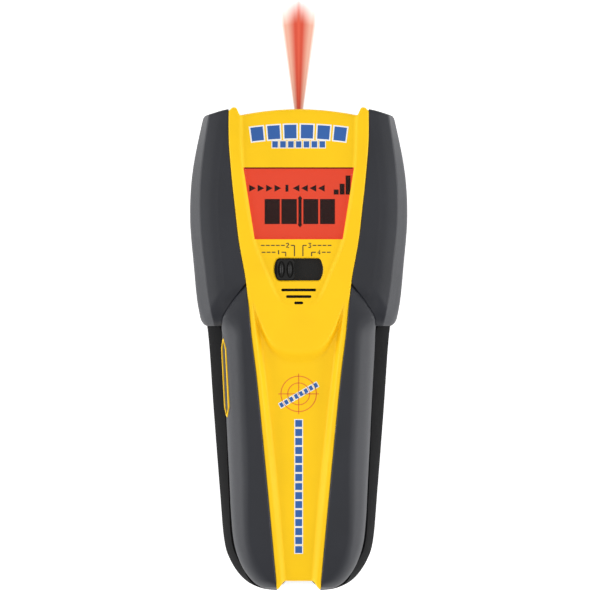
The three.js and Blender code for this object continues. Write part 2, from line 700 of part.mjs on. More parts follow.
function modeSlider() {
  const plate = roundedBlock(28, 12, 1, MODE_REST_X, SLOT.y, 30.2, 31.3);
  const knob = roundedBlock(6.2, 7.8, 0.9, MODE_REST_X, SLOT.y, 31, 35.1);
  const scallops = [-1, 1].map((side) => {
    const oval = new THREE.SphereGeometry(1, 14, 10).scale(1.35, 3.1, 1);
    return solid(oval.translate(MODE_REST_X + side * 1.5, SLOT.y, 35.3));
  });
  const leverPocket = block(MODE_REST_X - 1.3, MODE_REST_X + 1.3, SLOT.y - 1.3, SLOT.y + 1.3, 29, 33.2);
  return cut(join(plate, knob), ...scallops, leverPocket);
}

function slideSwitch() {
  add("slide_switch_body", roundedBlock(20, 6.6, 0.5, 0, SLOT.y, PCB_TOP + GAP, 28.2), MATERIAL.tin);
  const lever = block(MODE_REST_X - 1, MODE_REST_X + 1, SLOT.y - 1, SLOT.y + 1, 28.5, 32.6);
  add("slide_switch_lever", lever, MATERIAL.nearBlack);
}

function sounder() {
  const soundHole = upright(1.2, 0, 19.8, 27, 31);
  add("buzzer", cut(upright(6, 0, 19.2, PCB_TOP + GAP, 29.6, 28), soundHole), MATERIAL.nearBlack);
}

function beamPieces() {
  const dome = range(0, Math.PI / 2, 5).map((a) => [2.5 * Math.cos(a), 84.6 + 2.5 * Math.sin(a)]);
  const led = [[0, 77.2], [2.9, 77.2], [2.9, 78.2], [2.5, 78.2], ...dome.slice(0, -1), [0, 87.1]];
  add("beam_led", turned(led, 0, BEAM_Z), MATERIAL.red);
  const lens = [[0, 88], [2.8, 88], [2.8, 90], [2, 90.6], [0, 90.9]];
  add("beam_lens", turned(lens, 0, BEAM_Z), MATERIAL.redLens);
  const hole = turned([[0, 75], [2.8, 75], [2.8, 90], [0, 90]], 0, BEAM_Z);
  const holder = cut(block(-4.8, 4.8, 78.6, 83.6, 22.2, 29.6), hole);
  add("beam_holder", holder, MATERIAL.black);
}

// ---- Circuit boards --------------------------------------------------------------------------

function circuitBoards() {
  const boardEdge = [[-13, -18], [16, -18], [16, 29.4], [22, 31], [30, 33], [30, 66], [23, 71], [23, 75.6]];
  const leftEdge = [[-23, 75.6], [-23, 71], [-30, 66], [-30, 33], [-22, 31], [-16, 29.4], [-16, 9], [-13, 6]];
  add("main_board", polygonPrism([...boardEdge, ...leftEdge], PCB_Z, PCB_TOP), MATERIAL.board);
  add("microcontroller", roundedBlock(12, 12, 0.5, 8, 44, 21, PCB_Z - GAP), MATERIAL.nearBlack);
  add("crystal", roundedBlock(10.4, 4.2, 2, 10, 33, 19.2, PCB_Z - GAP), MATERIAL.tin);
  add("filter_capacitor", upright(3.1, -14, 36, 14.6, PCB_Z - GAP), MATERIAL.batteryJacket);
  add("boost_inductor", upright(4.2, -12, 2, 18.4, PCB_Z - GAP), MATERIAL.grey);
  add("sensor_board", roundedBlock(60, 52, 2, 0, 44.5, SENSOR_Z, SENSOR_Z + 1.6), MATERIAL.board);
  add("board_header", block(-14, 2, 24, 29, SENSOR_Z + 1.6 + GAP, PCB_Z - GAP), MATERIAL.nearBlack);
  const coilTop = SENSOR_Z + 1.6 + GAP + 2;
  const coil = cut(upright(18, 0, 50, SENSOR_Z + 1.6 + GAP, coilTop, 40), upright(13, 0, 50, 0, 30, 40));
  add("metal_scan_coil", coil, MATERIAL.copper);
}

// ---- Assembly --------------------------------------------------------------------------------

add("front_housing", frontHousing(), MATERIAL.yellow);
add("rear_housing", rearHousing(), MATERIAL.black);
add("left_shoulder_guard", shoulderGuard(-1), MATERIAL.slate);
add("right_shoulder_guard", shoulderGuard(1), MATERIAL.slate);
add("left_handle_grip", handleGrip(-1), MATERIAL.slate);
add("right_handle_grip", handleGrip(1), MATERIAL.slate);
add("battery_door", batteryDoor(), MATERIAL.black);
add("door_foam", roundedBlock(18, 27, 1, 0, -58, 3.2, 3.9), MATERIAL.felt);
add("mode_slider", modeSlider(), MATERIAL.nearBlack);
glideStrips().forEach(([name, x, glide]) => {
  add(name, roundedBlock(glide.width, glide.length, 1.5, x, glide.y, 0, GLIDE_TOP_Z), MATERIAL.felt);
});
SCREWS.forEach(([x, y], i) => add(`housing_screw_${i + 1}`, screw(x, y), MATERIAL.steel));
powerButtonPieces();
batteryPieces();
batteryLeads();
displayPieces();
slideSwitch();
sounder();
beamPieces();
circuitBoards();

export default part;
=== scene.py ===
"""A handheld stud finder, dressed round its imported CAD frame.

Lengths below are in millimetres in the part's own frame: +X right, +Y towards the nose, +Z out of the
display face, with the sensing face on Z = 0. new_object() turns them into metres.
"""

import math

import bmesh
import bpy
from mathutils import Matrix, Vector
from mathutils.geometry import tessellate_polygon


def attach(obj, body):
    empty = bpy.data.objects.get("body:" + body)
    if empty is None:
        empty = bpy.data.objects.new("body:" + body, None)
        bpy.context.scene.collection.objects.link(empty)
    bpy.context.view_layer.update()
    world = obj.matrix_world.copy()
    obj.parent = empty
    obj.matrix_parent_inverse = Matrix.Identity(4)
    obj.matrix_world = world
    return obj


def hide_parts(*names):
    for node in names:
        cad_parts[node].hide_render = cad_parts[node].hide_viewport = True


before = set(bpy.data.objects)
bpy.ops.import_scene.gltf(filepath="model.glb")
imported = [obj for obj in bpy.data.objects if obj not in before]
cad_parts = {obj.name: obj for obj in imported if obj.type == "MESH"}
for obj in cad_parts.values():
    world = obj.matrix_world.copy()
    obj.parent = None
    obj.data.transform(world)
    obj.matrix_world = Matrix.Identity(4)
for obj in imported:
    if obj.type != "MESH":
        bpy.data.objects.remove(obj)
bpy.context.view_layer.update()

MM = 0.001
BODY = "body"

# Heights of the shells.
PARTING_Z = 20.3
REAR_TOP_Z = 20.0
GUARD_BOTTOM_Z = 8.0
REAR_BOTTOM_Z = 0.9
ABOVE_ALL_Z = 50

# Half the line left between neighbouring mouldings.
SEAM = 0.06

# The yellow strip: a recessed panel round the display, and a channel down the handle below a lip.
PANEL_RECESS = 0.8
PANEL_START_Y = 14.6
CHANNEL_DEPTH = 2.4
LIP_Y = -0.8
LIP_RISE = 24.7
LIP_HALF_WIDTH = 18.5
NOTCH_Y = -88.1

# Display: lit glass under a clear window, a trapezium that is wider at the nose end.
WINDOW_TOP = 68.6
WINDOW_BOTTOM = 41.9
WINDOW_HALF_TOP = 20.7
WINDOW_HALF_BOTTOM = 16.4
LCD_BOTTOM_Z = 27.3
LCD_TOP_Z = 31.9
CLEAR_BOTTOM_Z = 32.6
CLEAR_TOP_Z = 33.7

# Switch slot and its slider, which rests at the left stop.
SLOT_Y = 30.2
SLOT_HALF_LENGTH = 9.3
SLOT_HALF_HEIGHT = 4.25
SLOT_BULGE = 1.3
SLOT_CORNER = 0.5
SLOT_FLOOR_Z = 25
SLOT_TOP_Z = 35.2
SLOT_FLARE = 0.9
MODE_REST_X = -4.905
SLIDE_BOTTOM_Z = 30.2
SLIDE_TOP_Z = 31.3
KNOB_TOP_Z = 35.1

# Sound slots as (y, half length), and the hole for the beam in the nose.
SOUND_SLOTS = ((22.4, 6.6), (19.9, 4.8), (17.5, 1.7))
SOUND_SLOT_WIDTH = 1.05
BEAM_Z = 26
BEAM_HOLE_RADIUS = 3.2

# Power key: a long hexagon on the left flank, leaning with it.
KEY_LEAN = math.radians(13)
KEY_CENTRE = (-27.75, -10.95, 25.2)
KEY_HALF_LENGTH = 14.25
KEY_HALF_HEIGHT = 2.7
KEY_SHOULDER = 11.25
KEY_CORNER = 0.8

# Battery door, with its hinge along the edge nearest the nose.
DOOR_HALF_WIDTH = 13.85
DOOR_LENGTH = 55.9
DOOR_MIDDLE_Y = -56.65
DOOR_TOP_Z = 2.9
HINGE_Y = -28.2
HINGE_Z = 2.1
HINGE_RADIUS = 1.2

# Screw positions, and felt glides as (x, y, width, length) with one thickness.
SCREWS = [(-28.5, 77), (28.5, 77), (-20, -26), (20, -26)]
GLIDES = {
    "head_glide_left": (-27, 41, 8, 54),
    "head_glide_right": (27, 41, 8, 54),
    "handle_glide_left": (-20.5, -56, 4.4, 40),
    "handle_glide_right": (20.5, -56, 4.4, 40),
}
FELT_THICKNESS = 1.2


# ---- Curves ----------------------------------------------------------------------------------


def profile(points):
    """A smooth function through (position, value) pairs, held level beyond both ends."""
    last = len(points) - 1
    slopes = []
    for i in range(len(points)):
        before = points[max(i - 1, 0)]
        after = points[min(i + 1, last)]
        slopes.append((after[1] - before[1]) / (after[0] - before[0]))

    def value(position):
        i = 0
        while i < last - 1 and position > points[i + 1][0]:
            i += 1
        span = points[i + 1][0] - points[i][0]
        t = min(max((position - points[i][0]) / span, 0.0), 1.0)
        back = (1 - t) ** 2
        start = points[i][1] * (1 + 2 * t) * back + slopes[i] * span * t * back
        end = points[i + 1][1] * t * t * (3 - 2 * t) - slopes[i + 1] * span * t * t * (1 - t)
        return start + end

    return value


def smooth(low, high, value):
    """An eased step from 0 at low to 1 at high."""
    t = min(max((value - low) / (high - low), 0.0), 1.0)
    return t * t * (3 - 2 * t)


def mix(a, b, t):
    return a + (b - a) * t


def steps(start, end, count):
    return [start + (end - start) * i / count for i in range(count + 1)]


def quarter(distance, reach):
    """0 at an edge, rising like a quarter circle to 1 at reach from it."""
    share = 1 - min(max(distance / reach, 0.0), 1.0)
    return math.sqrt(1 - share * share)


def edge_drop(distance, reach, depth):
    """How far a rounded edge has dropped: depth at the edge itself, nothing at reach from it."""
    return depth * (1 - quarter(distance, reach))


# Half widths at a given y: the head's slate guards and their bevel, the yellow strip, its channel and
# panel, the grips and their arched ends. crest_height is the height of the middle of the strip.
shoulder_half = profile([(8, 36.6), (18, 38.5), (30, 39.7), (50, 41.25), (68, 40.2), (92, 35.4)])
bevel_width = profile([(8, 4.6), (30, 4.0), (50, 3.7), (68, 3.2), (92, 1.8)])
strip_half = profile(
    [(-92, 8.2), (-54, 11.7), (-12, 15.8), (6, 18), (25, 19.9), (41, 22.7), (54, 24.2), (66, 25.5),
     (79, 26.5), (92, 26.6)]
)
channel_half = profile([(-92, 4.2), (-50, 7.9), (1, 13.6), (25, 16.6)])
crest_height = profile(
    [(-92, 27.4), (-75, 31), (-45, 33.9), (-10, 35.2), (20, 35.5), (55, 35.5), (72, 35.1), (92, 32.6)]
)
panel_half = profile([(14.6, 1.5), (18.6, 7.1), (28.5, 11.9), (41.6, 16.9), (69.2, 21.2), (96, 22)])
ARCH = [(6, 29.1), (11.6, 28.9), (17.6, 25.6), (23.2, 21.4), (24.8, 20.2)]
ARCH_TOP_Y = ARCH[-1][0]
arch_half = profile(ARCH)
grip_outline = profile(
    [(-91.5, 8.7), (-90.7, 13.8), (-87, 18.6), (-80, 22.7), (-71, 25), (-46, 26.5), (-16, 28), *ARCH]
)

# Right-hand half of the rear shell's plan, from the tail to the nose.
REAR_OUTLINE = [
    (0, -91.8), (8, -91.7), (15.6, -90.6), (21.4, -87), (26, -80.4), (28.4, -72.4), (30, -54),
    (32.4, -23), (34.5, 6), (36.9, 17), (38.8, 31), (40.2, 50), (39.2, 68), (36.4, 82.6), (33.6, 86.6),
    (28, 88), (22, 88), (12, 89.6), (0, 90.4),
]


def smooth_outline(half, per_segment=9):
    """A closed plan loop, counter-clockwise from the tail, through a right-hand half outline."""
    points = [Vector(p) for p in half]
    padded = [2 * points[0] - points[1], *points, 2 * points[-1] - points[-2]]
    right = []
    for a, b, c, d in zip(padded, padded[1:], padded[2:], padded[3:]):
        for k in range(per_segment):
            t = k / per_segment
            bend = 2 * b + (c - a) * t + (2 * a - 5 * b + 4 * c - d) * t * t + (3 * b - a - 3 * c + d) * t**3
            right.append(bend * 0.5)
    right.append(points[-1])
    left = [Vector((-p.x, p.y)) for p in reversed(right[1:-1])]
    return right + left


def offset_loop(loop, inset):
    """Moves each point of a loop inwards by inset(|x|, y)."""
    moved = []
    for i, point in enumerate(loop):
        along = (loop[(i + 1) % len(loop)] - loop[i - 1]).normalized()
        amount = inset(abs(point.x), point.y)
        moved.append(Vector((point.x - along.y * amount, point.y + along.x * amount)))
    return moved


# ---- Mesh building ---------------------------------------------------------------------------


def finish_mesh(mesh, angle=32):
    mesh.shade_smooth()
    mesh.set_sharp_from_angle(angle=math.radians(angle))


def new_object(name, points, faces, material=None):
    mesh = bpy.data.meshes.new(name)
    mesh.from_pydata([Vector(p) * MM for p in points], [], faces)
    mesh.update()
    work = bmesh.new()
    work.from_mesh(mesh)
    bmesh.ops.remove_doubles(work, verts=work.verts, dist=1e-7)
    bmesh.ops.recalc_face_normals(work, faces=work.faces)
    work.to_mesh(mesh)
    work.free()
    thing = bpy.data.objects.new(name, mesh)
    bpy.context.scene.collection.objects.link(thing)
    if material:
        mesh.materials.append(material)
    finish_mesh(mesh)
    return thing


def apply_modifiers(thing):
    bpy.context.view_layer.update()
    graph = bpy.context.evaluated_depsgraph_get()
    made = bpy.data.meshes.new_from_object(thing.evaluated_get(graph))
    thing.modifiers.clear()
    thing.data = made
    finish_mesh(made)


def cut(thing, *tools, operation="DIFFERENCE"):
    for tool in tools:
        modifier = thing.modifiers.new("cut", "BOOLEAN")
        modifier.operation = operation
        modifier.solver = "MANIFOLD"
        modifier.object = tool
        apply_modifiers(thing)
        bpy.data.objects.remove(tool)


def round_edges(thing, width, segments=3, angle=40):
    bevel = thing.modifiers.new("round", "BEVEL")
    bevel.width = width * MM
    bevel.segments = segments
    bevel.limit_method = "ANGLE"
    bevel.angle_limit = math.radians(angle)
    bevel.use_clamp_overlap = True
    apply_modifiers(thing)


def stack(name, loops, material=None):
    """A closed body through loops of equal length, with flat end caps."""
    count = len(loops[0])
    points = [p for loop in loops for p in loop]
    faces = []
    for k in range(len(loops) - 1):
        for i in range(count):
            a = k * count + i
            b = k * count + (i + 1) % count
            faces.append((a, b, b + count, a + count))
    for start, loop in ((0, loops[0]), ((len(loops) - 1) * count, loops[-1])):
        for triangle in tessellate_polygon([[Vector(p) for p in loop]]):
            faces.append(tuple(start + i for i in triangle))
    return new_object(name, points, faces, material)


def prism(name, outline, bottom, top, material=None, flare=0.0, flare_height=0.0):
    """An upright body over an outline; flare widens its top edge over the last flare_height."""
    loop = [Vector(p) for p in outline]
    levels = [(bottom, 0.0), (top, 0.0)]
    if flare:
        levels = [(bottom, 0.0), (top - flare_height, 0.0), (top, flare)]
    loops = []
    for z, grow in levels:
        moved = offset_loop(loop, lambda x, y: -grow)
        loops.append([(p.x, p.y, z) for p in moved])
    return stack(name, loops, material)


def grid_block(name, rows, skirt, material=None):
    """A closed body from rows of surface points, with walls down to skirt(point) and a matching underside."""
    across = len(rows[0])
    count = len(rows)
    points = [p for row in rows for p in row]
    points += [(p[0], p[1], skirt(p)) for row in rows for p in row]
    under = across * count
    faces = []
    for i in range(count - 1):
        for j in range(across - 1):
            a = i * across + j
            quad = (a, a + 1, a + across + 1, a + across)
            faces.append(quad)
            faces.append(tuple(under + k for k in reversed(quad)))
    edge = list(range(across))
    edge += [i * across + across - 1 for i in range(1, count)]
    edge += [(count - 1) * across + j for j in range(across - 2, -1, -1)]
    edge += [i * across for i in range(count - 2, 0, -1)]
    for a, b in zip(edge, edge[1:] + edge[:1]):
        faces.append((a, under + a, under + b, b))
    return new_object(name, points, faces, material)


def rounded_outline(width, height, radius, x=0.0, y=0.0, segments=8):
    loop = []
    for quadrant, (sx, sy) in enumerate(((1, 1), (-1, 1), (-1, -1), (1, -1))):
        for k in range(segments + 1):
            a = math.pi / 2 * (quadrant + k / segments)
            cx = x + sx * (width / 2 - radius)
            cy = y + sy * (height / 2 - radius)
            loop.append((cx + radius * math.cos(a), cy + radius * math.sin(a)))
    return loop


def circle_outline(radius, x=0.0, y=0.0, count=48):
    return [
        (x + radius * math.cos(2 * math.pi * k / count), y + radius * math.sin(2 * math.pi * k / count))
        for k in range(count)
    ]


def lathe(name, pairs, centre, axis, material=None, count=64):
    """A body turned round an axis through centre from (radius, height) pairs that start and end near it."""
    turn = Vector((0, 0, 1)).rotation_difference(Vector(axis)).to_matrix()
    points = []
    for radius, height in pairs:
        for k in range(count):
            a = 2 * math.pi * k / count
            local = Vector((radius * math.cos(a), radius * math.sin(a), height))
            points.append(tuple(turn @ local + Vector(centre)))
    faces = []
    for ring in range(len(pairs) - 1):
        for k in range(count):
            a = ring * count + k
            b = ring * count + (k + 1) % count
            faces.append((a, b, b + count, a + count))
    faces.append(tuple(reversed(range(count))))
    faces.append(tuple((len(pairs) - 1) * count + k for k in range(count)))
    return new_object(name, points, faces, material)


def place(thing, body, slot, *nodes):
    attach(thing, body)
    if nodes:
        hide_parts(*nodes)


# ---- Materials -------------------------------------------------------------------------------


def blank_material(name, color, roughness, metallic=0.0):
    material = bpy.data.materials.new(name)
    material.use_nodes = True
    shader = material.node_tree.nodes["Principled BSDF"]
    shader.inputs["Base Color"].default_value = (*color, 1)
    shader.inputs["Roughness"].default_value = roughness
    shader.inputs["Metallic"].default_value = metallic
    return material, material.node_tree.nodes, material.node_tree.links, shader


def noise(nodes, links, scale, detail=3.0, stretch=None):
    place_node = nodes.new("ShaderNodeTexCoord")
    texture = nodes.new("ShaderNodeTexNoise")
    texture.inputs["Scale"].default_value = scale
    texture.inputs["Detail"].default_value = detail
    source = place_node.outputs["Object"]
    if stretch:
        mapping = nodes.new("ShaderNodeMapping")
        mapping.inputs["Scale"].default_value = stretch
        links.new(source, mapping.inputs["Vector"])
        source = mapping.outputs["Vector"]
    links.new(source, texture.inputs["Vector"])
    return texture


def moulded(name, color, roughness, grain=900.0, depth=0.00002, tint=0.08, stretch=None, metallic=0.0,
            shine=0.5):
    """Moulded plastic, rubber or metal: mottled colour, uneven gloss and a fine grain."""
    material, nodes, links, shader = blank_material(name, color, roughness, metallic)
    shader.inputs["Specular IOR Level"].default_value = shine
    cloud = noise(nodes, links, 55.0)
    ramp = nodes.new("ShaderNodeValToRGB")
    ramp.color_ramp.elements[0].position = 0.3
    ramp.color_ramp.elements[1].position = 0.7
    ramp.color_ramp.elements[0].color = (*[c * (1 - tint) for c in color], 1)
    ramp.color_ramp.elements[1].color = (*[min(c * (1 + tint), 1) for c in color], 1)
    links.new(cloud.outputs["Fac"], ramp.inputs["Fac"])
    links.new(ramp.outputs["Color"], shader.inputs["Base Color"])
    fine = noise(nodes, links, grain, 2.0, stretch)
    spread = nodes.new("ShaderNodeMapRange")
    spread.inputs["To Min"].default_value = roughness - 0.06
    spread.inputs["To Max"].default_value = roughness + 0.06
    links.new(fine.outputs["Fac"], spread.inputs["Value"])
    links.new(spread.outputs["Result"], shader.inputs["Roughness"])
    bump = nodes.new("ShaderNodeBump")
    bump.inputs["Strength"].default_value = 0.6
    bump.inputs["Distance"].default_value = depth
    links.new(fine.outputs["Fac"], bump.inputs["Height"])
    links.new(bump.outputs["Normal"], shader.inputs["Normal"])
    return material


def glowing(name, color, strength):
    """A lit display: its colour glows, with the faint unevenness of a backlight."""
    material, nodes, links, shader = blank_material(name, color, 0.5)
    shader.inputs["Specular IOR Level"].default_value = 0.1
    cloud = noise(nodes, links, 30.0, 1.0)
    ramp = nodes.new("ShaderNodeValToRGB")
    ramp.color_ramp.elements[0].color = (*[c * 0.94 for c in color], 1)
    ramp.color_ramp.elements[1].color = (*color, 1)
    links.new(cloud.outputs["Fac"], ramp.inputs["Fac"])
    links.new(ramp.outputs["Color"], shader.inputs["Base Color"])
    links.new(ramp.outputs["Color"], shader.inputs["Emission Color"])
    shader.inputs["Emission Strength"].default_value = strength
    return material


def clear_plastic(name, color, alpha):
    material, nodes, links, shader = blank_material(name, color, 0.06)
    haze = noise(nodes, links, 120.0, 2.0)
    spread = nodes.new("ShaderNodeMapRange")
    spread.inputs["To Min"].default_value = 0.03
    spread.inputs["To Max"].default_value = 0.09
    links.new(haze.outputs["Fac"], spread.inputs["Value"])
    links.new(spread.outputs["Result"], shader.inputs["Roughness"])
    shader.inputs["Alpha"].default_value = alpha
    return material


YELLOW = (0.93, 0.565, 0.006)
SLATE = (0.0145, 0.0158, 0.0215)
BLACK = (0.006, 0.006, 0.0065)

MATERIALS = {
    "yellow": moulded("yellow_abs", YELLOW, 0.45, 700.0, 0.000012, 0.03, shine=0.2),
    "slate": moulded("slate_rubber", SLATE, 0.52, 1500.0, 0.00003, 0.1, shine=0.42),
    "black": moulded("black_abs", BLACK, 0.8, 1100.0, 0.00003, 0.12, shine=0.06),
    "near_black": moulded("near_black_plastic", (0.009, 0.0085, 0.008), 0.27, 900.0, 0.00001, 0.1, shine=0.4),
    "key": moulded("key_rubber", (0.03, 0.028, 0.026), 0.6, 1200.0, 0.00002, 0.08, shine=0.15),
    "lcd": glowing("lit_display", (0.5, 0.045, 0.021), 1.0),
    # The display segments' near-black, which also draws the painted shadow along the top edge of the display
    # window.
    "lcd_ink_and_painted_shadow": moulded("display_segments_and_painted_shadow", (0.008, 0.004, 0.004), 0.5, 400.0, 0.000002, 0.1, shine=0.2),
    "window": clear_plastic("clear_window", (0.1, 0.02, 0.015), 0.08),
    "lens": moulded("red_lens", (0.65, 0.03, 0.02), 0.12, 60.0, 0.000004, 0.15),
    "felt": moulded("felt", (0.028, 0.028, 0.03), 0.95, 2600.0, 0.0002, 0.3),
    "steel": moulded("zinc_steel", (0.42, 0.42, 0.44), 0.33, 500.0, 0.00001, 0.12, (1, 8, 1), 1.0),
    "tin": moulded("tinned_metal", (0.62, 0.62, 0.63), 0.25, 400.0, 0.000008, 0.1, None, 1.0),
    "copper": moulded("enamelled_copper", (0.55, 0.2, 0.07), 0.3, 800.0, 0.00005, 0.15, (1, 1, 6), 1.0),
    "board": moulded("solder_mask", (0.01, 0.09, 0.03), 0.3, 300.0, 0.00003, 0.35),
    "white": moulded("white_plastic", (0.75, 0.75, 0.73), 0.45, 500.0, 0.00001, 0.05),
    "ferrite": moulded("ferrite", (0.09, 0.09, 0.1), 0.7, 1200.0, 0.00004, 0.2),
    "jacket": moulded("battery_jacket", (0.03, 0.08, 0.18), 0.3, 200.0, 0.000006, 0.1),
    "red": moulded("red_plastic", (0.5, 0.02, 0.015), 0.35, 500.0, 0.00001, 0.1),
    "blue_ink": moulded("blue_ink", (0.022, 0.105, 0.36), 0.4, 600.0, 0.000004, 0.06),
    "white_ink": moulded("white_ink", (0.86, 0.86, 0.84), 0.4, 600.0, 0.000004, 0.03),
    "orange_ink": moulded("orange_ink", (0.75, 0.16, 0.01), 0.4, 600.0, 0.000004, 0.06),
    "black_ink": moulded("black_ink", (0.02, 0.016, 0.01), 0.45, 600.0, 0.000004, 0.1),
}

NODE_MATERIALS = {
    "beam_holder": "black", "slide_switch_lever": "near_black", "tact_switch_plunger": "near_black",
    "tact_switch_body": "near_black", "microcontroller": "near_black", "buzzer": "near_black",
    "board_header": "near_black", "battery_snap": "near_black", "battery_lead_black": "near_black",
    "lens_gasket": "near_black", "lcd_backlight": "white", "lcd_frame": "white", "main_board": "board",
    "sensor_board": "board", "button_board": "board", "boost_inductor": "ferrite",
    "filter_capacitor": "jacket", "crystal": "tin", "slide_switch_body": "tin", "metal_scan_coil": "copper",
    "battery_case": "jacket", "battery_terminal_positive": "tin", "battery_terminal_negative": "tin",
    "battery_lead_red": "red", "beam_led": "red", "door_foam": "felt",
}


def dress_cad_nodes():
    for node, key in NODE_MATERIALS.items():
        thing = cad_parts[node]
        thing.data.materials.clear()
        thing.data.materials.append(MATERIALS[key])


# ---- The yellow front housing ----------------------------------------------------------------


def rim_surface(x, y):
    """Height of the yellow strip before its edges are rounded."""
    across = abs(x)
    rim_inner = strip_half(y) - 1.2
    lip = LIP_Y + LIP_RISE * (across / LIP_HALF_WIDTH) ** 3
    below_lip = 1 - smooth(lip - 5, lip, y)
    inside_rims = smooth(0, 1, (rim_inner - across) / max(rim_inner - channel_half(y), 0.5))
    depth = CHANNEL_DEPTH * mix(0.55, 1, smooth(-75, -15, y))
    z = crest_height(y) - depth * below_lip * inside_rims
    if y > PANEL_START_Y:
        z -= PANEL_RECESS * smooth(-0.8, 0.8, panel_half(y) - across) * smooth(PANEL_START_Y, 22, y)
    return z


def strip_ends(across):
    """The strip's tail and nose at a share of its half width: a notch between feet, an arc between horns."""
    horn_start = 0.83
    tail = NOTCH_Y - 3.2 * smooth(0.58, 1, across)
    arc_y = 88.7 + 2.3 * (1 - min(across / horn_start, 1) ** 2)
    horn = 3 * smooth(horn_start, 0.9, across) * (1 - 0.4 * smooth(0.94, 1, across))
    return tail, arc_y + horn


def strip_rows():
    """Rows of surface points across the strip, from the tail to the nose."""
    rows = []
    for v in steps(0.0, 1.0, 400):
        row = []
        for u in steps(-1.0, 1.0, 124):
            tail, nose = strip_ends(abs(u))
            y = mix(tail, nose, v - 0.012 * math.sin(2 * math.pi * v))
            x = u * strip_half(y)
            z = rim_surface(x, y)
            side = strip_half(y) - abs(x)
            z -= edge_drop(side, 0.5, 0.35)
            z -= edge_drop(nose - y, 1.1, 0.8)
            z -= edge_drop(y - tail, 1.0, 0.8)
            row.append((x, y, z))
        rows.append(row)
    return rows


def window_outline(grow):
    top = WINDOW_TOP + grow
    bottom = WINDOW_BOTTOM - grow
    wide = WINDOW_HALF_TOP + grow
    narrow = WINDOW_HALF_BOTTOM + grow
    return [(narrow, bottom), (wide, top), (-wide, top), (-narrow, bottom)]


def slot_outline():
    """The switch slot: straight long sides, rounded corners and ends that bulge a little."""
    right = []
    for t in steps(-1.0, 1.0, 20):
        into_corner = max(abs(t) * SLOT_HALF_HEIGHT - (SLOT_HALF_HEIGHT - SLOT_CORNER), 0.0)
        round_in = SLOT_CORNER - math.sqrt(max(SLOT_CORNER**2 - into_corner**2, 0.0))
        right.append((SLOT_HALF_LENGTH - SLOT_BULGE * t * t - round_in, SLOT_Y + t * SLOT_HALF_HEIGHT))
    left = [(-x, 2 * SLOT_Y - y) for x, y in right]
    return right + left


def hollow_outline():
    """The space under the strip, for the display, the slide switch and the buzzer."""
    right = [(14, -30), (15, 10), (18, 34), (22, 70), (23.5, 88)]
    left = [(-x, y) for x, y in reversed(right)]
    return right + left


def front_housing():
    thing = grid_block("front_shell", strip_rows(), lambda p: PARTING_Z, MATERIALS["yellow"])
    cut(thing, prism("cut", window_outline(0.3), 15, ABOVE_ALL_Z))
    slot = prism(
        "cut", slot_outline(), SLOT_FLOOR_Z, SLOT_TOP_Z, flare=SLOT_FLARE, flare_height=SLOT_FLARE
    )
    cut(thing, slot)
    for y, half in SOUND_SLOTS:
        outline = rounded_outline(half * 2, SOUND_SLOT_WIDTH, 0.5, 0, y)
        cut(thing, prism("cut", outline, SLOT_FLOOR_Z, ABOVE_ALL_Z))
    beam_hole = [(BEAM_HOLE_RADIUS, 0), (BEAM_HOLE_RADIUS, 6)]
    cut(thing, lathe("cut", beam_hole, (0, 87.5, BEAM_Z), (0, 1, 0)))
    cut(thing, prism("cut", hollow_outline(), 18, 31))
    place(thing, BODY, "yellow_housing", "front_housing")


# ---- Shoulder guards and handle grips --------------------------------------------------------


def bevel_drop(distance, width):
    """How far the guard falls towards its outer edge: a slight slope, a crisp edge, a steep facet."""
    curve = profile([(0, 11.5), (0.4, 9.7), (width * 0.5, 6.0), (width - 0.3, 2.3), (width, 1.7),
                     (width + 0.4, 1.35), (width + 3.6, 0.45), (width + 7, 0.1)])
    return curve(max(distance, 0.0))


def seam_dip(x, y):
    """How far the guard sinks beside the arched end of the grip."""
    beside = 1 - smooth(0.0, 7.5, x - arch_half(y))
    return 1.9 * beside * (1 - smooth(17, 27, y))


def guard_rows():
    """Rows of surface points on the right-hand guard, each from the strip out to the head's edge."""
    rows = []
    for v in steps(0.0, 1.0, 200):
        along = v - 0.06 * math.sin(2 * math.pi * v)
        row = []
        for s in steps(0.0, 1.0, 90):
            u = 1 - (1 - s) ** 1.6
            low = 8.7 + edge_drop(1 - u, 0.3, 3.2)
            high = 91 - 2.7 * u**1.3 - edge_drop(1 - u, 0.08, 1.4)
            y = mix(low, high, along)
            inner = strip_half(y) + SEAM
            if y < ARCH_TOP_Y:
                inner = max(inner, arch_half(y) - SEAM)
            x = mix(inner, shoulder_half(y), u)
            z = crest_height(y) - 0.35 * smooth(20, 41, x)
            z -= bevel_drop(shoulder_half(y) - x, bevel_width(y))
            z -= seam_dip(x, y)
            z -= edge_drop(y - low, 6.0, 5.5)
            z -= edge_drop(high - y, 1.2, 0.9)
            z -= edge_drop(x - inner, 0.4, 0.25)
            row.append((x, y, z))
        rows.append(row)
    return rows


def mirrored(rows):
    return [[(-x, y, z) for x, y, z in row] for row in rows]


def shoulder_guards():
    rows = guard_rows()
    for name, node, surface in (
        ("shoulder_right", "right_shoulder_guard", rows),
        ("shoulder_left", "left_shoulder_guard", mirrored(rows)),
    ):
        thing = grid_block(name, surface, lambda p: GUARD_BOTTOM_Z, MATERIALS["slate"])
        place(thing, BODY, "slate_rubber", node)


def grip_stations():
    """Y stations along the grip, packed closer at both ends."""
    low = -91.45
    high = 24.6
    return [mix(low, high, v - 0.13 * math.sin(2 * math.pi * v)) for v in steps(0.0, 1.0, 260)]


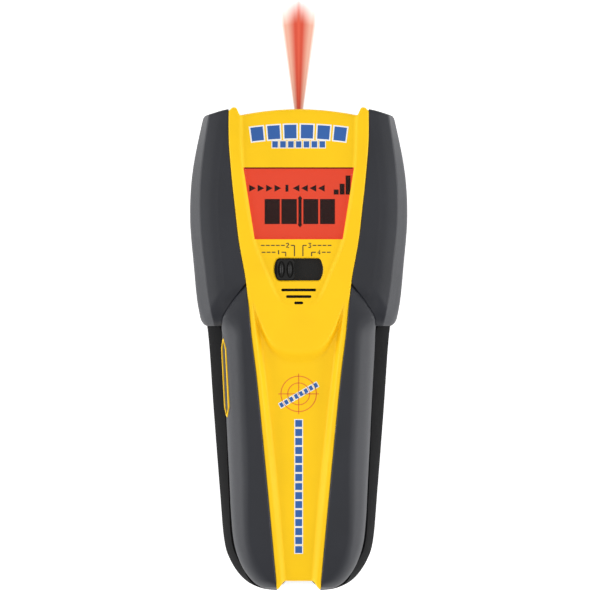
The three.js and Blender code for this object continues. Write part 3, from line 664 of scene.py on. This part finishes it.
def grip_surface():
    """Rows of surface points on the right-hand grip: deeply rounded, but shallow at its arch."""
    rows = []
    for y in grip_stations():
        inner = strip_half(y) + SEAM
        outer = max(grip_outline(y), inner + 0.05)
        slope = (grip_outline(y + 0.2) - grip_outline(y - 0.2)) / 0.4
        lean = math.sqrt(1 + slope * slope)
        arch = smooth(4, 13, y)
        reach = mix(6.2, 8.2, smooth(-88, -35, y))
        row = []
        for s in steps(0.0, 1.0, 64):
            u = 1 - (1 - s) ** 2
            x = mix(inner, outer, u)
            distance = (outer - x) / lean
            deep = edge_drop(distance, reach, crest_height(y) - PARTING_Z)
            shallow = edge_drop(distance, 8.0, 2.4) - 0.1
            z = crest_height(y) + 0.15 - mix(deep, shallow, arch)
            z -= edge_drop(x - inner, 0.45, 0.3)
            row.append((x, y, z))
        rows.append(row)
    return rows


def grip_skirt(point):
    return min(PARTING_Z, point[2] - 0.2)


def handle_grips():
    rows = grip_surface()
    right = grid_block("grip_right", rows, grip_skirt, MATERIALS["slate"])
    place(right, BODY, "slate_rubber", "right_handle_grip")
    left = grid_block("grip_left", mirrored(rows), grip_skirt, MATERIALS["slate"])
    cut(left, key_prism("cut", 1.15, -4, 3.1))
    place(left, BODY, "slate_rubber", "left_handle_grip")


# ---- Power key on the left flank -------------------------------------------------------------


def key_frame():
    """The key's own frame: X along the handle, Y up the flank, Z inwards."""
    along = Vector((-0.05, 1, 0)).normalized()
    up = Vector((math.sin(KEY_LEAN), 0, math.cos(KEY_LEAN)))
    up = (up - up.dot(along) * along).normalized()
    inwards = along.cross(up)
    turn = Matrix((along, up, inwards)).transposed()
    return turn, Vector(KEY_CENTRE)


def key_outline(grow):
    """A long hexagon with pointed ends and slightly eased corners."""
    half = KEY_HALF_LENGTH + grow * 1.3
    height = KEY_HALF_HEIGHT + grow
    corners = [(half, 0), (KEY_SHOULDER, height), (-KEY_SHOULDER, height)]
    corners += [(-x, -y) for x, y in corners]
    loop = []
    for i, corner in enumerate(corners):
        point = Vector(corner)
        before = Vector(corners[i - 1])
        after = Vector(corners[(i + 1) % len(corners)])
        first = point + (before - point).normalized() * KEY_CORNER
        last = point + (after - point).normalized() * KEY_CORNER
        for k in range(5):
            t = k / 4
            loop.append(first * (1 - t) ** 2 + point * 2 * t * (1 - t) + last * t * t)
    return loop


def key_stack(name, levels, material=None):
    """A body in the key's frame through (grow, depth) levels."""
    turn, origin = key_frame()
    loops = []
    for grow, depth in levels:
        loops.append([tuple(turn @ Vector((p.x, p.y, depth)) + origin) for p in key_outline(grow)])
    return stack(name, loops, material)


def key_prism(name, grow, start, end, material=None):
    return key_stack(name, [(grow, start), (grow, end)], material)


def power_key():
    """A thin raised ring in the grip, and the key inside it."""
    ring = key_stack(
        "key_ring",
        [(0.3, -0.3), (0.4, -0.38), (0.6, -0.38), (0.78, -0.25), (0.85, 0), (0.85, 2.8)],
        MATERIALS["yellow"],
    )
    cut(ring, key_prism("cut", 0.1, -3, 4))
    place(ring, BODY, "yellow_housing", "button_bezel")
    cap = key_stack(
        "key_cap",
        [(-1.9, -0.22), (-1.2, -0.2), (-0.7, -0.12), (-0.4, 0.05), (-0.25, 0.35), (-0.25, 1.8)],
        MATERIALS["key"],
    )
    place(cap, "power_key", "slate_rubber", "power_button")


# ---- Rear housing ----------------------------------------------------------------------------


def under_guard(x, y):
    """How far the tray's wall stands back where it is under a guard."""
    return 2.2 * smooth(24, 29, x) * smooth(8, 12, y)


def towards_grip(x, y):
    """How far the handle's wall leans in by the time it reaches the grip."""
    lean = min(max(4.2 + (y + 30) * 0.035, 2.8), 5.2)
    return lean * (1 - smooth(7, 12, y)) * smooth(-92, -84, y)


def rear_levels():
    """The tray's heights, each with its inset: a rounded bottom edge, a ledge, then a leaning wall."""
    levels = []
    for a in steps(0, math.pi / 2, 8):
        levels.append((REAR_BOTTOM_Z + 3.4 * (1 - math.cos(a)), lambda x, y, a=a: 2.8 * (1 - math.sin(a))))
    levels.append((7.7, lambda x, y: 0.0))
    levels.append((7.95, under_guard))
    for t in steps(0.2, 1, 8):
        z = mix(7.9, REAR_TOP_Z, t)
        bow = 0.75 * t + 0.25 * t**3
        levels.append((z, lambda x, y, bow=bow: under_guard(x, y) + towards_grip(x, y) * bow))
    return levels


def notch_tool():
    right = [(9.4, -95), (8.2, -91.3), (4.8, NOTCH_Y)]
    left = [(-x, y) for x, y in reversed(right)]
    return prism("cut", left + right, -1, ABOVE_ALL_Z)


def rear_housing():
    loop = smooth_outline(REAR_OUTLINE)
    loops = []
    for z, inset in rear_levels():
        loops.append([(p.x, p.y, z) for p in offset_loop(loop, inset)])
    thing = stack("rear_shell", loops, MATERIALS["black"])
    battery_bay = prism("cut", rounded_outline(32, 62, 2, 0, -54), 3, 30)
    door_opening = prism("cut", rounded_outline(28.4, 58.4, 0.6, 0, -55.7), -1, 4)
    cut(thing, notch_tool(), battery_bay, door_opening)
    for x, y in SCREWS:
        cut(thing, prism("cut", circle_outline(3.3, x, y), -1, 5))
    for x, y, width, length in GLIDES.values():
        cut(thing, prism("cut", rounded_outline(width + 0.6, length + 0.6, 1.8, x, y), -1, 1.5))
    place(thing, BODY, "black_housing", "rear_housing")


def screws():
    """Pan-head screws with a cross recess, seen from the back at the bottom of their wells."""
    head = [(1.35, 20), (1.35, 4.7), (2.75, 4.7), (2.8, 4.2), (2.7, 3.2), (2.3, 2.65), (1.2, 2.42)]
    for i, (x, y) in enumerate(SCREWS):
        thing = lathe(f"screw_{i + 1}", head, (x, y, 0), (0, 0, 1), MATERIALS["steel"], 40)
        for wide, long in ((3.4, 0.75), (0.75, 3.4)):
            cut(thing, prism("cut", rounded_outline(wide, long, 0.2, x, y, 3), 1, 3.6))
        place(thing, BODY, "screw_steel", f"housing_screw_{i + 1}")


def glides():
    for name, (x, y, width, length) in GLIDES.items():
        outline = rounded_outline(width, length, 1.5, x, y)
        thing = prism(name.replace("glide", "felt"), outline, 0.0, FELT_THICKNESS, MATERIALS["felt"])
        round_edges(thing, 0.35)
        place(thing, BODY, "felt", name)


def battery_door():
    """The door with its hinge barrel, finger grooves near the latch, and an arrow that says which way."""
    outline = rounded_outline(2 * DOOR_HALF_WIDTH, DOOR_LENGTH, 1, 0, DOOR_MIDDLE_Y)
    thing = prism("door_panel", outline, REAR_BOTTOM_Z, DOOR_TOP_Z, MATERIALS["black"])
    round_edges(thing, 0.3)
    barrel = [(HINGE_RADIUS, -DOOR_HALF_WIDTH), (HINGE_RADIUS, DOOR_HALF_WIDTH)]
    cut(thing, lathe("join", barrel, (0, HINGE_Y, HINGE_Z), (1, 0, 0)), operation="UNION")
    for y in steps(-80, -74, 3):
        cut(thing, prism("cut", rounded_outline(14, 0.9, 0.44, 0, y), 0, 1.4))
    arrow = [(-3, -70.6), (3, -70.6), (0, -66.8)]
    cut(thing, prism("cut", arrow, 0, 1.2))
    place(thing, "door", "black_housing", "battery_door")


# ---- Display and mode slider -----------------------------------------------------------------


def display():
    face = prism("lcd_face", window_outline(1.2), LCD_BOTTOM_Z, LCD_TOP_Z, MATERIALS["lcd"])
    place(face, BODY, "lcd_glass", "lcd_glass")
    window = prism("window", window_outline(0.05), CLEAR_BOTTOM_Z, CLEAR_TOP_Z, MATERIALS["window"])
    round_edges(window, 0.15, 2)
    place(window, BODY, "clear_window", "display_lens")
    lcd_symbols()


def flat_shapes(name, outlines, z, thickness, material, slot):
    """Thin shapes, each from its own outline, joined into one piece: the display's marks and a strip of
    painted shadow.
    """
    points = []
    faces = []
    for outline in outlines:
        start = len(points)
        count = len(outline)
        points += [(x, y, z) for x, y in outline]
        points += [(x, y, z + thickness) for x, y in outline]
        for triangle in tessellate_polygon([[Vector((x, y, 0)) for x, y in outline]]):
            faces.append(tuple(start + i for i in triangle))
            faces.append(tuple(start + count + i for i in reversed(triangle)))
        for i in range(count):
            j = (i + 1) % count
            faces.append((start + i, start + j, start + count + j, start + count + i))
    place(new_object(name, points, faces, material), BODY, slot)


def box_outline(x0, x1, y0, y1):
    return [(x0, y0), (x1, y0), (x1, y1), (x0, y1)]


def centre_pointer():
    """A thin upright bar with a pointed, slightly wider head at each end."""
    x = 0.5
    middle_y = 52.15
    right = [(0, -6.05), (0.8, -5.05), (0.6, -4.55), (0.6, 4.55), (0.8, 5.05), (0, 6.05)]
    left = [(-dx, dy) for dx, dy in reversed(right[1:-1])]
    return [(x + dx, middle_y + dy) for dx, dy in right + left]


def scan_bars():
    """Two bars on each side of the centre pointer."""
    columns = ((-12.9, -7.15), (-6.55, -0.7), (1.75, 7.4), (8.1, 13.75))
    return [box_outline(x0, x1, 47.4, 56.9) for x0, x1 in columns]


def signal_icon():
    """Three columns that rise to the right."""
    x = 13.3
    y = 58.6
    pitch = 2.25
    return [
        box_outline(x + k * pitch, x + k * pitch + 1.85, y, y + height)
        for k, height in enumerate((1.9, 4.1, 7.2))
    ]


def arrow_row():
    """Four arrowheads on each side that point at a short bar between them."""
    centre_x = -4.45
    y = 61.0
    half = 1.3
    shapes = []
    for k in range(4):
        for side in (-1, 1):
            back = centre_x + side * (14.3 - k * 3.2)
            tip = back - side * 2.5
            shapes.append([(back, y - half), (tip, y), (back, y + half)][::side])
    shapes.append(box_outline(centre_x - 0.55, centre_x + 0.55, y - half, y + half))
    return shapes


def lcd_symbols():
    # The dark strip along the window's top edge is painted shadow: the shade that edge casts on the display,
    # drawn in the segments' near-black.
    painted_shadow_line = box_outline(-20.5, 20.5, 68.45, 68.85)
    shapes = [*scan_bars(), centre_pointer(), *signal_icon(), *arrow_row(), painted_shadow_line]
    flat_shapes("lcd_marks_and_painted_shadow", shapes, LCD_TOP_Z + 0.02, 0.05, MATERIALS["lcd_ink_and_painted_shadow"], "near_black_plastic")


def mode_slider():
    """A plate that always fills the slot, with a knob on it that has two oval finger scallops."""
    slide_outline = rounded_outline(28, 12, 1, MODE_REST_X, SLOT_Y)
    plate = prism("mode_knob", slide_outline, SLIDE_BOTTOM_Z, SLIDE_TOP_Z, MATERIALS["near_black"])
    knob = prism("join", rounded_outline(6.4, 7.7, 1.3, MODE_REST_X, SLOT_Y), 31, KNOB_TOP_Z)
    round_edges(knob, 0.45)
    cut(plate, knob, operation="UNION")
    radii = (1.4 * MM, 3.2 * MM, 1.5 * MM, 1)
    for side in (-1, 1):
        centre = Vector((MODE_REST_X + side * 1.6, SLOT_Y, KNOB_TOP_Z + 0.2)) * MM
        bpy.ops.mesh.primitive_uv_sphere_add(segments=48, ring_count=24, radius=1)
        oval = bpy.context.active_object
        oval.data.transform(Matrix.Diagonal(radii))
        oval.data.transform(Matrix.Translation(centre))
        cut(plate, oval)
    place(plate, "mode_selector", "near_black_plastic", "mode_slider")


def beam_lens():
    """A small red dome in the middle of the nose."""
    pairs = [(2.8, 0), (2.85, 1.8), (2.6, 2.2), (1.8, 2.6), (0.9, 2.85), (0.2, 2.9)]
    thing = lathe("beam_window", pairs, (0, 88, BEAM_Z), (0, 1, 0), MATERIALS["lens"])
    place(thing, BODY, "red_lens", "beam_lens")


# ---- Printed graphics ------------------------------------------------------------------------

# How deep the print reaches below the surface, and how far each coat stands above it.
INK = 0.05
FIRST_COAT = 0.03
SECOND_COAT = 0.06


def band(centre_line, half_width):
    """The two sides of a strip round a centre line of (x, y) points."""
    left = []
    right = []
    last = len(centre_line) - 1
    for i, (x, y) in enumerate(centre_line):
        ax, ay = centre_line[max(i - 1, 0)]
        bx, by = centre_line[min(i + 1, last)]
        length = math.hypot(bx - ax, by - ay)
        nx, ny = -(by - ay) / length, (bx - ax) / length
        left.append((x + nx * half_width, y + ny * half_width))
        right.append((x - nx * half_width, y - ny * half_width))
    return left, right


def ribbon(name, lines, half_width, material, lift=FIRST_COAT):
    """Printed lines: each centre line becomes a thin ribbon that follows the yellow surface."""
    points = []
    faces = []
    for line in lines:
        left, right = band(line, half_width)
        start = len(points)
        for a, b in zip(left, right):
            for x, y in (a, b):
                z = rim_surface(x, y)
                points.append((x, y, z + lift))
                points.append((x, y, z - INK))
        for k in range(len(left) - 1):
            p = start + 4 * k
            q = p + 4
            faces += [(p, p + 2, q + 2, q), (p + 1, q + 1, q + 3, p + 3)]
            faces += [(p, q, q + 1, p + 1), (p + 2, p + 3, q + 3, q + 2)]
        end = start + 4 * (len(left) - 1)
        faces += [(start, start + 1, start + 3, start + 2), (end, end + 2, end + 3, end + 1)]
    thing = new_object(name, points, faces, material)
    place(thing, BODY, "yellow_housing")


def arc(cx, cy, radius, start, end, count=64):
    return [
        (cx + radius * math.cos(math.radians(a)), cy + radius * math.sin(math.radians(a)))
        for a in steps(start, end, count)
    ]


def line(x0, y0, x1, y1, spacing=0.5):
    count = max(int(math.hypot(x1 - x0, y1 - y0) / spacing), 1)
    return [(mix(x0, x1, t), mix(y0, y1, t)) for t in steps(0.0, 1.0, count)]


def blocks(centre_line, count, gap):
    """Short dashes with straight ends, evenly spread along a centre line of (x, y) points."""
    total = len(centre_line) - 1
    share = 1 / count
    dashes = []
    for k in range(count):
        first = round(total * (k + gap / 2) * share)
        last = round(total * (k + 1 - gap / 2) * share)
        dashes.append(centre_line[first : last + 1])
    return dashes


def outlined_dashes(name, centre_line, count, gap, half_width, border):
    """Blue dashes on slightly larger white ones."""
    dashes = blocks(centre_line, count, gap)
    spacing = math.dist(centre_line[0], centre_line[1])
    extra = max(round(border / spacing), 1)
    inner = [dash[extra:-extra] for dash in dashes]
    ribbon(f"{name}_border", dashes, half_width, MATERIALS["white_ink"], FIRST_COAT)
    ribbon(name, inner, half_width - border, MATERIALS["blue_ink"], SECOND_COAT)


def target_graphic():
    """Two circles and a cross, with a slanted row of dashes over them."""
    y = -17.0
    arm = 7.7
    outer = 6.7
    inner = 4.15
    rings = [arc(0, y, outer, 0, 360, 96), arc(0, y, inner, 0, 360, 72)]
    cross = [line(-arm, y, arm, y), line(0, y - arm, 0, y + arm)]
    ribbon("target_mark", rings + cross, 0.17, MATERIALS["orange_ink"])
    outlined_dashes("target_dashes", line(-7.4, -21.7, 7.4, -13.2, 0.1), 8, 0.1, 1.15, 0.3)


# Strokes of each number in a box 1 wide and 1 high.
DIGIT_STROKES = {
    1: [[(0.3, 0.75), (0.6, 1), (0.6, 0)]],
    2: [[(0, 0.85), (0.3, 1), (0.7, 1), (0.95, 0.75), (0, 0), (1, 0)]],
    3: [[(0, 1), (1, 1), (0.45, 0.58), (0.95, 0.35), (0.7, 0), (0, 0.05)]],
    4: [[(0.75, 0), (0.75, 1), (0, 0.3), (1, 0.3)]],
}

# The slider's stops as (number, x, height of the leader line, dashes beside the number).
MODE_STOPS = ((1, -4.9, 36.7, 3), (2, -1.6, 39.3, 5), (3, 1.6, 39.3, 4), (4, 4.9, 36.7, 2))


def mode_graphic():
    """A leader line from each slider stop to its number."""
    lines = []
    for number, stop, height, dashes in MODE_STOPS:
        side = math.copysign(1, stop)
        elbow = stop + side * (1.4 if number in (2, 3) else 1.6)
        lines.append([(stop, 35.2), (stop, height - 0.7), (stop, height)])
        lines.append([(stop, height), (mix(stop, elbow, 0.5), height), (elbow, height)])
        left = elbow + side * 0.7 - (1.0 if side < 0 else 0)
        for stroke in DIGIT_STROKES[number]:
            lines.append([(left + x, height - 0.8 + 1.6 * y) for x, y in stroke])
        for k in range(dashes):
            start = elbow + side * (2.3 + 1.9 * k)
            lines.append([(start, height), (start + side * 0.7, height), (start + side * 1.4, height)])
    ribbon("mode_marks", lines, 0.19, MATERIALS["black_ink"])


def graphics():
    """All the printing on the yellow strip. Rows of dashes stand where a maker would put names."""
    target_graphic()
    mode_graphic()
    crown_radius = 137.0
    crown = arc(0, 82.5 - crown_radius, crown_radius, 97.9, 82.1, 360)
    outlined_dashes("crown_blocks", crown, 6, 0.1, 3.1, 0.5)
    outlined_dashes("crown_dashes", line(-10.4, 77.6, 10.4, 77.6, 0.1), 7, 0.1, 1.5, 0.3)
    outlined_dashes("handle_dashes", line(0, -26.5, 0, -77.8, 0.1), 15, 0.04, 1.65, 0.35)


# ---- Stage, light and camera -----------------------------------------------------------------

# The wedge of light on the floor, in metres: where it starts, how wide it starts and spreads, its length.
BEAM_START = 0.091
BEAM_HALF_WIDTH = 0.0019
BEAM_SPREAD = 0.175
BEAM_LENGTH = 0.0435
BEAM_TINTS = {"edge": (0.52, 0.27, 0.2, 1), "core": (0.41, 0.042, 0.018, 1), "heart": (0.46, 0.06, 0.027, 1)}
PALE = (0.9, 0.9, 0.9)


def floor_material():
    """A pale floor, with the red wedge of light that the nose throws along it."""
    material, nodes, links, shader = blank_material("pale_floor", PALE, 0.6)
    place_node = nodes.new("ShaderNodeTexCoord")
    split = nodes.new("ShaderNodeSeparateXYZ")
    links.new(place_node.outputs["Object"], split.inputs["Vector"])

    def math_node(operation, first, second=None, clamp=False):
        node = nodes.new("ShaderNodeMath")
        node.operation = operation
        node.use_clamp = clamp
        for socket, value in zip(node.inputs, (first, second)):
            if value is None:
                continue
            if isinstance(value, (int, float)):
                socket.default_value = value
            else:
                links.new(value, socket)
        return node.outputs["Value"]

    def band_mask(reach, sharpness):
        """1 in the middle of the wedge, fading to 0 at a share of its half width."""
        return math_node("MULTIPLY", math_node("SUBTRACT", reach, share), sharpness, True)

    ahead = math_node("SUBTRACT", split.outputs["Y"], BEAM_START)
    half = math_node("ADD", math_node("MULTIPLY", ahead, BEAM_SPREAD), BEAM_HALF_WIDTH)
    share = math_node("DIVIDE", math_node("ABSOLUTE", split.outputs["X"]), half)
    start = math_node("MULTIPLY", math_node("ADD", ahead, 0.006), 500.0, True)
    length = math_node("SUBTRACT", BEAM_LENGTH, math_node("MULTIPLY", share, 0.001))
    left = math_node("MULTIPLY", math_node("SUBTRACT", length, ahead), 95.0, True)
    fade = math_node("MULTIPLY", start, left)
    masks = {"edge": band_mask(1.0, 3.4), "core": band_mask(0.58, 2.6), "heart": band_mask(0.12, 9.0)}
    plain = nodes.new("ShaderNodeRGB")
    plain.outputs[0].default_value = (*PALE, 1)
    color = plain.outputs[0]
    for part, mask in masks.items():
        blend = nodes.new("ShaderNodeMix")
        blend.data_type = "RGBA"
        links.new(math_node("MULTIPLY", mask, fade), blend.inputs[0])
        links.new(color, blend.inputs[6])
        blend.inputs[7].default_value = BEAM_TINTS[part]
        color = blend.outputs[2]
    links.new(color, shader.inputs["Base Color"])
    links.new(color, shader.inputs["Emission Color"])
    shader.inputs["Emission Strength"].default_value = 0.7
    return material


def stage():
    """A floor just under the felt strips, a white studio round it, and plain view colours."""
    half = 900
    z = -0.3
    corners = [(-half, -half, z), (half, -half, z), (half, half, z), (-half, half, z)]
    floor = new_object("floor", corners, [(0, 1, 2, 3)], floor_material())
    world = bpy.data.worlds.new("studio")
    world.use_nodes = True
    world.node_tree.nodes["Background"].inputs["Color"].default_value = (1, 1, 1, 1)
    world.node_tree.nodes["Background"].inputs["Strength"].default_value = 0.45
    bpy.context.scene.world = world
    bpy.context.scene.view_settings.view_transform = "Standard"


def area_light(name, place_mm, target_mm, size_mm, power):
    data = bpy.data.lights.new(name, "AREA")
    data.shape = "RECTANGLE"
    data.size = size_mm[0] * MM
    data.size_y = size_mm[1] * MM
    data.energy = power
    lamp = bpy.data.objects.new(name, data)
    bpy.context.scene.collection.objects.link(lamp)
    lamp.location = Vector(place_mm) * MM
    lamp.rotation_euler = (Vector(target_mm) - Vector(place_mm)).to_track_quat("-Z", "Y").to_euler()


def lights():
    """A long low softbox and a high one on each side."""
    for side in (-1, 1):
        area_light(f"low_{side}", (side * 650, -20, 160), (0, 0, 20), (900, 260), 3.2)
        area_light(f"high_{side}", (side * 560, 0, 800), (0, 0, 0), (900, 500), 2.9)


def camera():
    """Straight down on the display face from far away, as a catalogue picture is taken."""
    distance = 6000.0
    sensor = 36.0
    view_width = 228.0
    data = bpy.data.cameras.new("camera")
    data.sensor_width = sensor
    data.lens = sensor * (distance - 20) / view_width
    data.clip_end = 20
    view = bpy.data.objects.new("camera", data)
    bpy.context.scene.collection.objects.link(view)
    view.location = Vector((0.5, 18.6, distance)) * MM
    bpy.context.scene.camera = view


camera()
stage()
lights()
dress_cad_nodes()
front_housing()
shoulder_guards()
handle_grips()
power_key()
rear_housing()
screws()
glides()
battery_door()
display()
mode_slider()
beam_lens()
graphics()
